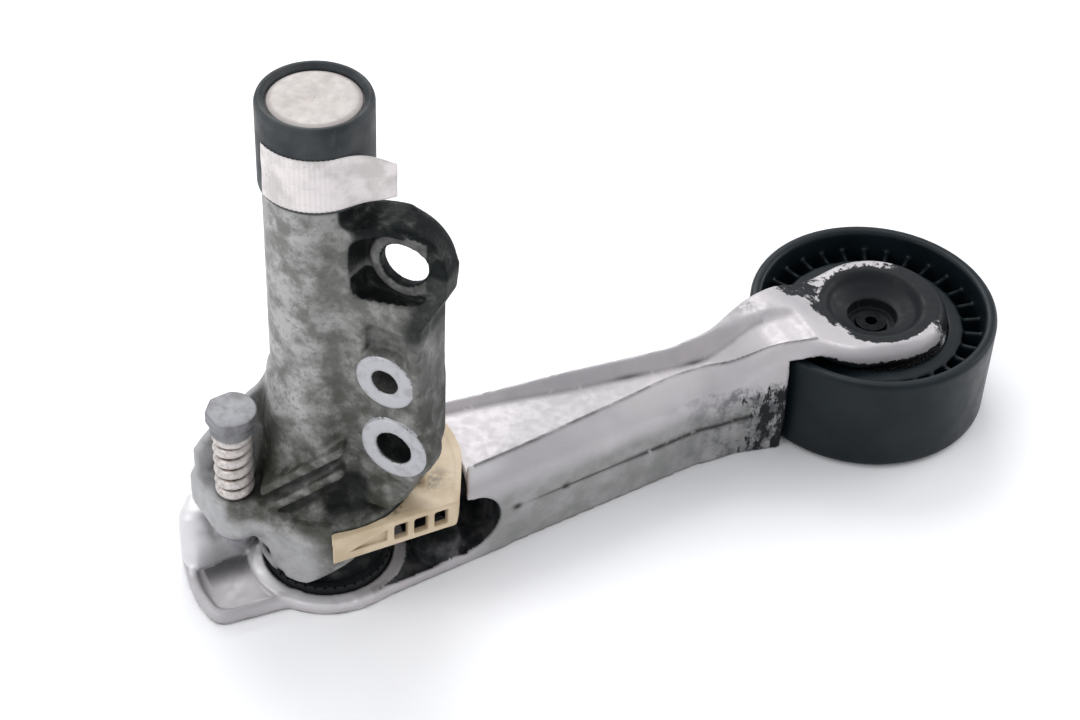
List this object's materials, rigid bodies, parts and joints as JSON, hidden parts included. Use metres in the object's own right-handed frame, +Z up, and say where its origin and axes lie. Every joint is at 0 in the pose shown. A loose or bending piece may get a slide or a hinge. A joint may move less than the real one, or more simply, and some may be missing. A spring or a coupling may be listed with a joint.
{
  "type": "belt tensioner",
  "caption": "Torsion-bar accessory belt tensioner: slim cast tube housing with side mounting bores, long cast arm and a black ribbed plastic idler pulley.",
  "frame": {"origin": "on the pivot axis of the arm, in the plane of the arm's flat underside, which the tensioner stands on", "axes": "+Z up along the pivot axis and the tube; +Y along the mounting bores, towards the engine; the arm points 52 degrees from +X at rest"},
  "size_m": [0.1608, 0.1876, 0.1415],
  "materials": {
    "cast_housing": "cast aluminium, mottled and oil stained",
    "arm_alloy": "die-cast aluminium, satin, with worn black paint at the eye",
    "black_sleeve": "black plastic sleeve with a soft sheen",
    "plug_alloy": "light grey matt disc",
    "label_paper": "blank white coated paper label",
    "spring_steel": "bare spring steel",
    "bronze": "sintered bronze",
    "seal_rubber": "black rubber",
    "shield_plastic": "cream polyamide, aged",
    "friction_plastic": "black friction polymer",
    "pin_steel": "zinc-plated steel, worn",
    "spring_wire": "plated wire with a little rust",
    "pulley_plastic": "black glass-filled polyamide",
    "bearing_steel": "ground bearing steel",
    "cage_plastic": "polyamide cage",
    "bolt_black": "black phosphated steel"
  },
  "bodies": {
    "housing": {"housing": "cast_housing", "end_sleeve": "black_sleeve", "end_plug": "plug_alloy", "label": "label_paper", "torsion_bar": "spring_steel", "bar_anchor": "spring_steel", "upper_bush": "bronze", "lower_bush": "bronze", "shaft_seal": "seal_rubber", "dust_shield": "shield_plastic", "pin_spring": "spring_wire"},
    "arm": {"arm": "arm_alloy", "pivot_shaft": "spring_steel", "friction_ring": "friction_plastic", "thrust_washer": "bronze", "retaining_ring": "spring_steel", "pulley_bolt": "bolt_black", "pulley_washer": "pin_steel", "bearing_inner_ring": "bearing_steel"},
    "pulley": {"pulley": "pulley_plastic", "bearing_outer_ring": "bearing_steel", "bearing_seals": "seal_rubber"},
    "ball_cage": {"bearing_cage": "cage_plastic", "bearing_balls": "bearing_steel"},
    "locking_pin": {"locking_pin": "pin_steel", "pin_clip": "spring_wire"}
  },
  "joints": [
    {"name": "arm_swing", "type": "hinge", "parent": "housing", "child": "arm", "pos_m": [0, 0, 0.03], "axis": [0, 0, 1], "range_deg": [0, 30], "stiffness_Nm_per_rad": 6, "springref_deg": -5.73},
    {"name": "pulley_spin", "type": "hinge", "parent": "arm", "child": "pulley", "pos_m": [0.09543, 0.12214, 0.015], "axis": [0, 0, 1], "continuous": true},
    {"name": "cage_spin", "type": "hinge", "parent": "arm", "child": "ball_cage", "pos_m": [0.09543, 0.12214, 0.015], "axis": [0, 0, 1], "continuous": true},
    {"name": "pin_press", "type": "slide", "parent": "housing", "child": "locking_pin", "axis": [0, 0, -1], "range_m": [0, 0.008], "stiffness_N_per_m": 400, "springref_m": -0.004, "deforming": ["pin_spring"]}
  ],
  "couplings": [
    {"joint": "cage_spin", "follows": "pulley_spin", "ratio": 0.6183}
  ]
}
